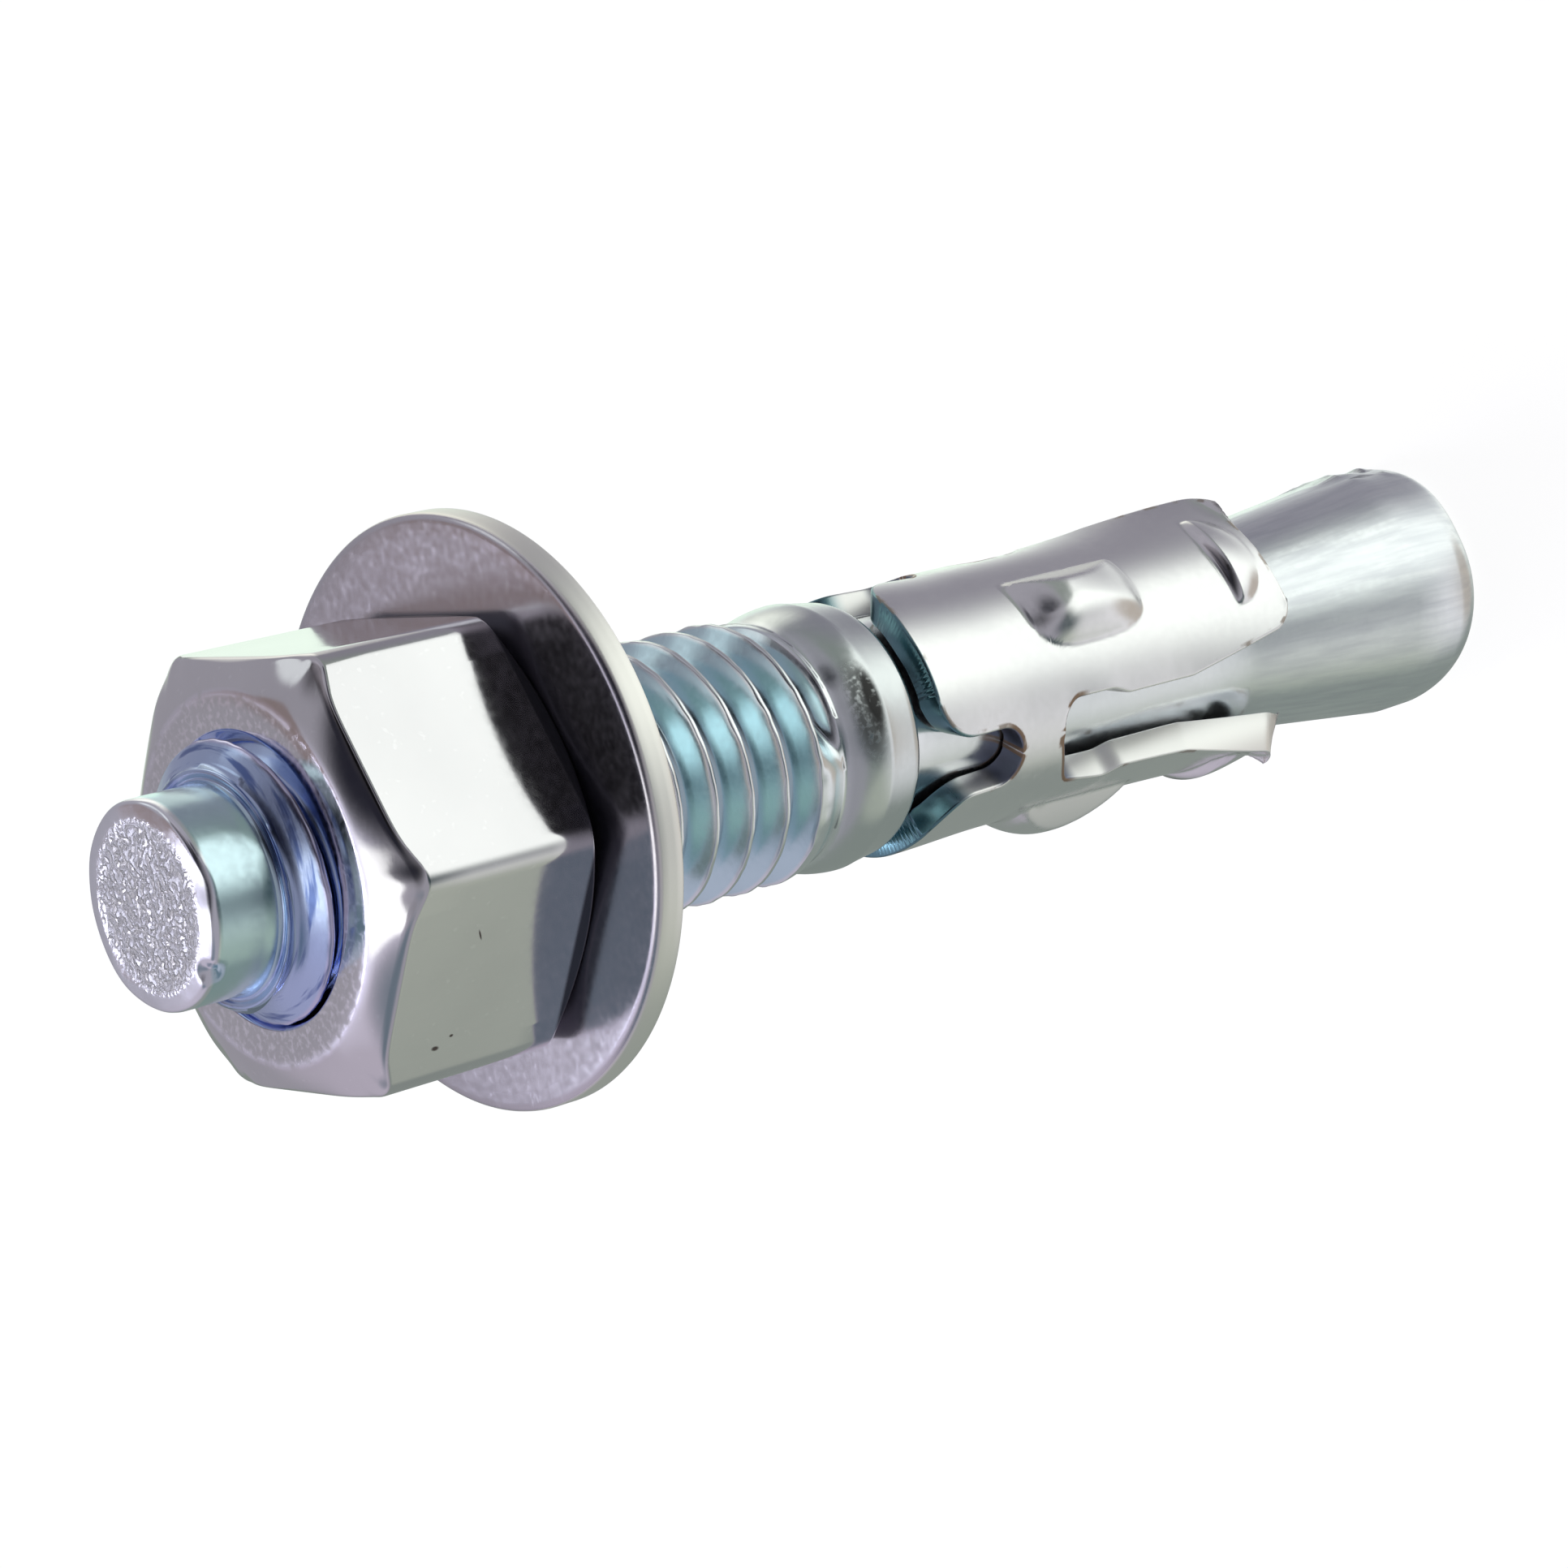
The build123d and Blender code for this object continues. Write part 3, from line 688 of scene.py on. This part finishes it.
def bump_height(across, along):
    """Height of the pressed bump: a low dome on a squarish foot, whose upper side is pressed
    to a flat that meets the dome in a crease."""
    from_middle = along - BUMP_CENTRE[0]
    lengthwise = abs(from_middle) / BUMP_REACH[0 if from_middle < 0 else 1]
    sideways = max(0, BUMP_CENTRE[1] - across, across - BUMP_SHOULDER) / BUMP_REACH[2]
    reach = (lengthwise ** 3 + sideways ** 3) ** (1 / 3)
    dome = BUMP_HEIGHT * (1 - reach * reach)
    return max(0, soft_min(dome, bump_flat(across), BUMP_SOFTNESS))


def moon_height(across, along):
    """Height of the half-moon: a lip towards the collar that falls away to the tip."""
    sideways = (across - MOON_CENTRE) / MOON_HALF_WIDTH
    width = math.sqrt(max(0, 1 - sideways * sideways))
    from_lip = along - MOON_START - MOON_SKEW * max(0, sideways) ** 2
    if from_lip < 0 or width == 0:
        return MOON_HEIGHT * width * smooth_step(from_lip, -MOON_LIP, 0.0)
    return MOON_HEIGHT * width * max(0, 1 - (from_lip / (MOON_LENGTH * width)) ** 2)


def slanted(across, along):
    """Distance along the clip, with the collar end of a leaf sheared a little off square."""
    reach = max(0, 1 - along / NOTCH_DEPTH)
    return along + END_SLANT * smooth_step(across, *END_SLANT_SPAN) * reach


def stops(start, end, pitch):
    """Even stops from start to just before end."""
    count = max(1, round((end - start) / pitch))
    return [start + (end - start) * n / count for n in range(count)]


def leaf_rim(leaf):
    """Close points all round a leaf's free edge, as (across, along)."""
    points = []
    for side in (-1, 1):
        for step in range(EDGE_STEPS + 1):
            along = CLIP_LENGTH * step / EDGE_STEPS
            if not on_bridge(along, leaf, side):
                points.append((leaf_edge(along, leaf, side), along))
    for along in (0, CLIP_LENGTH):
        left, right = (leaf_edge(along, leaf, side) for side in (-1, 1))
        points += [(left + (right - left) * step / END_STEPS, along)
                   for step in range(END_STEPS + 1)]
    return points


def inset_across(column, left, right):
    """Place of a column of points between a leaf's edges, with the first ones close to them."""
    near = min(column, CLIP_COLUMNS - column)
    if near < len(ROUND_STEPS):
        return left + ROUND_STEPS[near] if column == near else right - ROUND_STEPS[near]
    first, last = left + ROUND_STEPS[-1], right - ROUND_STEPS[-1]
    span = CLIP_COLUMNS - 2 * (len(ROUND_STEPS) - 1)
    return first + (last - first) * (column - len(ROUND_STEPS) + 1) / span


# Rows of points down the clip, closer together where the notches and slots turn.
rows = ROUND_STEPS[:-1] + stops(0.2, 4.6, 0.2)
rows += [NOTCH_DEPTH - back for back in (0.8, 0.6, 0.43, 0.3, 0.2, 0.12, 0.06, 0.02)]
rows += [NOTCH_DEPTH + step for step in ROUND_STEPS[:-1]] + stops(5.6, 8.0, 0.24)
rows += [SLOT_START - back for back in reversed(ROUND_STEPS[:-1])]
rows += [SLOT_START + step for step in (0.015, 0.05, 0.1, 0.17, 0.26, 0.38, 0.52, 0.7)]
rows += stops(9.1, 23.2, 0.16)
rows += [CLIP_LENGTH - back for back in (1.0, 0.8, 0.6, 0.45, 0.32, 0.2, 0.12, 0.06, 0.02, 0.0)]
clip_bm = bmesh.new()
inner_place = clip_bm.verts.layers.float_vector.new("inner")
edge_wear = clip_bm.verts.layers.float.new("cut_edge")
rubbed = clip_bm.verts.layers.float.new("rubbed")
for leaf in range(LEAF_COUNT):
    centre = LEAF_CENTRE + leaf * 2 * math.pi / LEAF_COUNT
    rim = leaf_rim(leaf)
    rim_tree = kdtree.KDTree(len(rim))
    for index, point in enumerate(rim):
        rim_tree.insert((*point, 0), index)
    rim_tree.balance()
    made = bmesh.ops.create_grid(clip_bm, x_segments=CLIP_COLUMNS, y_segments=len(rows) - 1,
                                 size=1)
    for vert in made["verts"]:
        column = round((vert.co.x + 1) / 2 * CLIP_COLUMNS)
        along = rows[round((vert.co.y + 1) / 2 * (len(rows) - 1))]
        left, right = (leaf_edge(along, leaf, side) for side in (-1, 1))
        across = inset_across(column, left, right)
        from_rim = rim_tree.find((across, along, 0))[2]
        if column in (0, CLIP_COLUMNS) and not on_bridge(along, leaf, 1 if column else -1):
            from_rim = 0.0
        worn = quarter_round(from_rim, CLIP_EDGE_ROUND)
        stands_off, opens = LEAF_LIFTS[2 * leaf + (across > 0)]
        lift = (stands_off * smooth_step(along, SLOT_START, LIFT_FULL)
                + opens * smooth_step(along, OPENING_START, CLIP_LENGTH))
        edge = right if across > 0 else left
        spread = lift * (across / edge) ** 3
        lean_out = 3 * lift * (across / edge) ** 2 / edge
        pressed = bump_height(across, along) + moon_height(across, along)
        skin = sleeve_radius(along) + spread + pressed
        angle = centre + across / CLIP_RADIUS
        height = CLIP_TOP - slanted(across, along)
        ray = Vector((math.cos(angle), math.sin(angle), 0))
        outer = ray * (skin - worn)
        angle += CLIP_THICKNESS * lean_out / CLIP_RADIUS
        ray = Vector((math.cos(angle), math.sin(angle), 0))
        inner = ray * (skin - CLIP_THICKNESS + worn)
        outer.z = inner.z = height
        vert.co = outer * MM
        vert[inner_place] = inner * MM
        vert[edge_wear] = 1 - smooth_step(from_rim, 0.02, 0.30)
        on_bump = smooth_step(pressed, 0.02, 0.08) * (along < MOON_START - 2)
        vert[rubbed] = on_bump * (1 - smooth_step(bump_flat(across) - pressed, 0.0, 0.06))
bmesh.ops.remove_doubles(clip_bm, verts=clip_bm.verts, dist=1e-6)
bmesh.ops.recalc_face_normals(clip_bm, faces=clip_bm.faces)
skins = bmesh.ops.extrude_face_region(clip_bm, geom=clip_bm.faces[:], use_keep_orig=True)
for element in skins["geom"]:
    if isinstance(element, bmesh.types.BMVert):
        element.co = element[inner_place]
bmesh.ops.recalc_face_normals(clip_bm, faces=clip_bm.faces)
clip_zinc = zinc_plate("clip_zinc", (0.93, 0.93, 0.93), (0.88, 0.88, 0.89), 0.20, 0.15)
clip_tree = clip_zinc.node_tree
cut_edge = add_node(clip_tree, "ShaderNodeAttribute", attribute_name="cut_edge").outputs["Fac"]
overlay(clip_zinc, ramp_value(clip_tree, cut_edge, 0.55, 1.0), (1.0, 1.0, 0.98), 0.42)
up_clip = axis_height(clip_tree)
# Painted shade: the cut edges at the collar end, where the clip meets the collar, are darkened to
# a dark teal.
painted_collar_shade = multiply(clip_tree, ramp_value(clip_tree, cut_edge, 0.3, 0.9),
                     zone(clip_tree, up_clip, *COLLAR_SHADE_RISE))
overlay(clip_zinc, painted_collar_shade, (0.16, 0.30, 0.34), 0.25)
by_bridge = band(clip_tree, up_clip, BRIDGE_RISE, BRIDGE_FALL)
# Painted shade: by the bridge, the cut faces in the notch floors and slot eyes are darkened to a
# dark blue-grey.
shaded_cut_face = ramp_value(clip_tree, cut_edge, 0.85, 0.98)
overlay(clip_zinc, multiply(clip_tree, shaded_cut_face, by_bridge), (0.24, 0.26, 0.33), 0.40)
rim_only = multiply(clip_tree, ramp_value(clip_tree, cut_edge, 0.02, 0.30),
                    ramp_value(clip_tree, cut_edge, 0.99, 0.90))
rust = multiply(clip_tree, rim_only,
                multiply(clip_tree, by_bridge, grains(clip_tree, 500.0, 0.42, 0.50)))
overlay(clip_zinc, rust, (0.42, 0.30, 0.22), 0.60)
edge_rust = multiply(clip_tree, rim_only, grains(clip_tree, 700.0, 0.56, 0.64))
overlay(clip_zinc, multiply(clip_tree, edge_rust, 0.7), (0.40, 0.32, 0.26), 0.60)
rubbed_flat = add_node(clip_tree, "ShaderNodeAttribute", attribute_name="rubbed").outputs["Fac"]
overlay(clip_zinc, rubbed_flat, (1.0, 1.0, 0.98), 0.55)
finish_piece(clip_bm, "expansion_clip", "clip", "clip", clip_zinc)

# ---- Washer --------------------------------------------------------------------------------
# A flat washer punched from sheet steel and zinc plated. The punch drew its upper rim round
# and left the lower one square. It hangs loose on the thread, to one side.

WASHER_COLUMNS = 240
WASHER_SEAT = 62.15
WASHER_TOP = 63.6
WASHER_RADIUS = 13.5
WASHER_HOLE = 7.15
WASHER_RIM_DRAW = (0.45, 0.30)
WASHER_HOLE_BREAK = 0.15
WASHER_BREAK_MIDDLE = 0.04
# Distances from the washer's middle at which the rim's own gloss is 0 and full.
WASHER_RIM_RISE = (13.40, 13.47)
WASHER_OFFSET = Vector((0.6, 0, 0)) @ Matrix.Rotation(math.radians(31), 3, "Z")

rim_centre = (WASHER_RADIUS - WASHER_RIM_DRAW[0], WASHER_TOP - WASHER_RIM_DRAW[1])
washer_outline = arc(rim_centre, WASHER_RIM_DRAW, 90, 0, 5)
washer_outline += straight(washer_outline[-1], (WASHER_RADIUS, WASHER_SEAT + 0.1), 3)
washer_outline += [(WASHER_RADIUS - 0.03, WASHER_SEAT + 0.03), (WASHER_RADIUS - 0.1, WASHER_SEAT)]
washer_outline += straight(washer_outline[-1], (WASHER_HOLE + WASHER_HOLE_BREAK, WASHER_SEAT), 8)
washer_outline += [(WASHER_HOLE + WASHER_BREAK_MIDDLE, WASHER_SEAT + WASHER_BREAK_MIDDLE),
                   (WASHER_HOLE, WASHER_SEAT + WASHER_HOLE_BREAK)]
washer_outline += straight(washer_outline[-1], (WASHER_HOLE, WASHER_TOP - WASHER_HOLE_BREAK), 2)
washer_outline += [(WASHER_HOLE + WASHER_BREAK_MIDDLE, WASHER_TOP - WASHER_BREAK_MIDDLE),
                   (WASHER_HOLE + WASHER_HOLE_BREAK, WASHER_TOP)]
washer_outline += straight(washer_outline[-1], (rim_centre[0], WASHER_TOP), 8)
washer_bm = bmesh.new()
lathe(washer_bm, washer_outline, WASHER_COLUMNS)
bmesh.ops.translate(washer_bm, verts=washer_bm.verts, vec=WASHER_OFFSET * MM)
close_shell(washer_bm)
washer_zinc = zinc_plate("washer_zinc", (0.74, 0.72, 0.76), (0.65, 0.63, 0.67), 0.21)
washer_tree = washer_zinc.node_tree
from_middle = axis_distance(washer_tree, WASHER_OFFSET.xy * MM)
on_rim = zone(washer_tree, from_middle, *WASHER_RIM_RISE)
overlay(washer_zinc, on_rim, (1.0, 0.99, 0.94), 0.42)
finish_piece(washer_bm, "flat_washer", "washer", "washer", washer_zinc)

# ---- Nut -----------------------------------------------------------------------------------
# A cold-formed hexagon nut, bevelled at both faces, countersunk and tapped to the stud's
# thread, and zinc plated. It bears on the washer.

NUT_COLUMNS = 300
NUT_TOP = 74.7
NUT_SEAT = 63.6
NUT_HALF_FLATS = 19.05 / 2
NUT_CORNER_ROUND = 1.2
NUT_TOP_FACE = 8.2
# Slope and full drop of the top bevel, over the flats and at the corners.
NUT_TOP_SLOPES = (0.44, 0.30)
NUT_TOP_DROPS = (0.82, 1.35)
NUT_CORNER_RISE = 1.3
NUT_SEAT_FACE = 9.3
NUT_SEAT_SLOPE = math.tan(math.radians(30))
NUT_MOUTH = 6.56
NUT_BORE = 5.3
NUT_CORNER_CROWDING = 0.55
THREAD_CLEARANCE = 0.1
HEX_SIDES = 6
FACE_BREAK = 0.12
# The rounded rims: how far in from the hexagon, and how far up from the bevel's edge.
RIM_BREAK = ((0.12, 0.055), (0.045, -0.03), (0.01, -0.13), (0.0, -0.24))
RIM_BREAK_START = 0.22
SEAT_RIM_BREAK = ((0.02, 0.06), (0.08, -0.04))
SEAT_RIM_BREAK_START = 0.16
# Zones of tint, wear and painted shade: places in mm where each is 0 and where it is full.
SEAT_SHADE_FALL = (64.55, 64.30)
TOP_FACE_RISE = (74.64, 74.68)
WORN_RING_RISE = (7.80, 8.12)
WORN_RING_FALL = (8.45, 8.18)
MOUTH_WALL_FALL = (6.64, 6.52)
# Each pit in the plating: its centre, its reach and its turn.
NUT_PITS = (((-7.80, -6.49, 71.20), (0.16, 0.5, 0.26), 0.2),
            ((-7.41, -6.72, 70.43), (0.10, 0.5, 0.14), 0.0),
            ((-3.05, -9.24, 69.95), (0.40, 0.5, 0.06), -0.4))
PIT_FACING = math.radians(-30)


def crowd_corners(angle):
    """Angle of a column, moved towards the nearest corner of the hexagon."""
    return angle + NUT_CORNER_CROWDING / HEX_SIDES * math.sin(HEX_SIDES * angle)


def hexagon_radius(angle):
    """Radius of the nut's outline, with its corners rounded."""
    side = math.pi / HEX_SIDES
    from_flat = (angle + side) % (2 * side) - side
    flat = NUT_HALF_FLATS / math.cos(from_flat)
    corner_centre = (NUT_HALF_FLATS - NUT_CORNER_ROUND) / math.cos(side)
    from_corner = side - abs(from_flat)
    if math.tan(from_corner) > (NUT_CORNER_ROUND * math.sin(side)
                                / (corner_centre + NUT_CORNER_ROUND * math.cos(side))):
        return flat
    sideways = corner_centre * math.sin(from_corner)
    return corner_centre * math.cos(from_corner) + math.sqrt(NUT_CORNER_ROUND ** 2 - sideways ** 2)


def top_bevel(radius, rim):
    """Height of the top bevel, which steepens from the round top face to the hexagon's rim."""
    corner = smooth_step(rim, NUT_HALF_FLATS, NUT_HALF_FLATS + NUT_CORNER_RISE)
    slope = NUT_TOP_SLOPES[0] + (NUT_TOP_SLOPES[1] - NUT_TOP_SLOPES[0]) * corner
    full_drop = NUT_TOP_DROPS[0] + (NUT_TOP_DROPS[1] - NUT_TOP_DROPS[0]) * corner ** 2
    out, width = radius - NUT_TOP_FACE, rim - NUT_TOP_FACE
    return NUT_TOP - slope * out - (full_drop - slope * width) * (out / width) ** 2


def nut_outline(angle):
    """The nut's outer section at an angle, from its top face down to its seat."""
    rim = hexagon_radius(angle)
    top_edge = top_bevel(rim, rim)
    seat_edge = NUT_SEAT + (rim - NUT_SEAT_FACE) * NUT_SEAT_SLOPE
    points = [(NUT_MOUTH, NUT_TOP), (NUT_MOUTH + 0.05, NUT_TOP)]
    points += [(NUT_MOUTH + 0.8, NUT_TOP), (NUT_TOP_FACE - FACE_BREAK, NUT_TOP)]
    bevel_start = NUT_TOP_FACE + FACE_BREAK
    points += [(NUT_TOP_FACE, NUT_TOP - 0.015), (bevel_start, top_bevel(bevel_start, rim) - 0.005)]
    slope_length = rim - RIM_BREAK_START - bevel_start
    for part in (0.15, 0.3, 0.45, 0.6, 0.75, 0.9, 1.0):
        radius = bevel_start + slope_length * part
        points.append((radius, top_bevel(radius, rim)))
    points += [(rim - inward, top_edge + up) for inward, up in RIM_BREAK]
    points += straight(points[-1], (rim, seat_edge + SEAT_RIM_BREAK_START), 4)
    points += [(rim - inward, seat_edge + up) for inward, up in SEAT_RIM_BREAK]
    points += straight(points[-1], (NUT_SEAT_FACE, NUT_SEAT), 2)
    points += [(NUT_MOUTH + 0.6, NUT_SEAT), (NUT_MOUTH, NUT_SEAT)]
    return points


nut_bm = bmesh.new()
for vert in spin_line(nut_bm, range(len(nut_outline(0))), NUT_COLUMNS):
    angle = crowd_corners(math.atan2(vert.co.y, vert.co.x))
    radius, height = nut_outline(angle)[round(vert.co.z)]
    vert.co = Vector((radius * math.cos(angle), radius * math.sin(angle), height)) * MM
nut_first = math.floor((NUT_SEAT - THREAD_CREST_HEIGHT) / THREAD_PITCH) - 1
nut_last = math.ceil((NUT_TOP - THREAD_CREST_HEIGHT) / THREAD_PITCH) + 1
nut_rows = [THREAD_CREST_HEIGHT + (turn_number + part) * THREAD_PITCH
            for turn_number in range(nut_first, nut_last) for part in CREST_ROWS[::2]]
for vert in spin_line(nut_bm, nut_rows, NUT_COLUMNS, THREAD_PITCH):
    turned_angle = math.atan2(vert.co.y, vert.co.x)
    angle = crowd_corners(turned_angle)
    climb = THREAD_PITCH * (angle - turned_angle) / (2 * math.pi)
    height = min(max(vert.co.z + climb, NUT_SEAT), NUT_TOP)
    form = thread_form(height, angle, THREAD_RADIUS, NUT_BORE - THREAD_CLEARANCE)[0]
    mouth = NUT_MOUTH - min(NUT_TOP - height, height - NUT_SEAT)
    radius = max(form + THREAD_CLEARANCE, NUT_BORE, mouth)
    vert.co = Vector((radius * math.cos(angle), radius * math.sin(angle), height)) * MM
close_shell(nut_bm)
nut_zinc = zinc_plate("nut_zinc", (0.82, 0.81, 0.83), (0.77, 0.76, 0.78), 0.10, 0.15)
nut_tree = nut_zinc.node_tree
up_nut = axis_height(nut_tree)
out_of_nut = axis_distance(nut_tree)
# Painted shade: the seat bevel next to the washer is darkened to near black.
overlay(nut_zinc, zone(nut_tree, up_nut, *SEAT_SHADE_FALL), (0.12, 0.12, 0.14), 0.30)
on_top = zone(nut_tree, up_nut, *TOP_FACE_RISE)
overlay(nut_zinc, multiply(nut_tree, on_top, grains(nut_tree, 3200.0, 0.45, 0.68)),
        (0.92, 0.90, 0.94), 0.18)
worn_ring = band(nut_tree, out_of_nut, WORN_RING_RISE, WORN_RING_FALL)
overlay(nut_zinc, multiply(nut_tree, worn_ring, grains(nut_tree, 1500.0, 0.30, 0.55)),
        (0.86, 0.84, 0.90), 0.25)
in_mouth = multiply(nut_tree, zone(nut_tree, out_of_nut, *MOUTH_WALL_FALL),
                    zone(nut_tree, up_nut, *MOUTH_TINT_RISE))
overlay(nut_zinc, in_mouth, (0.52, 0.66, 1.0), blend="MULTIPLY")
for centre, reach, turn in NUT_PITS:
    pit = mark(nut_tree, centre, reach, (0, turn, PIT_FACING))
    overlay(nut_zinc, pit, (0.16, 0.13, 0.12), 0.5)
finish_piece(nut_bm, "hexagon_nut", "nut", "nut", nut_zinc)
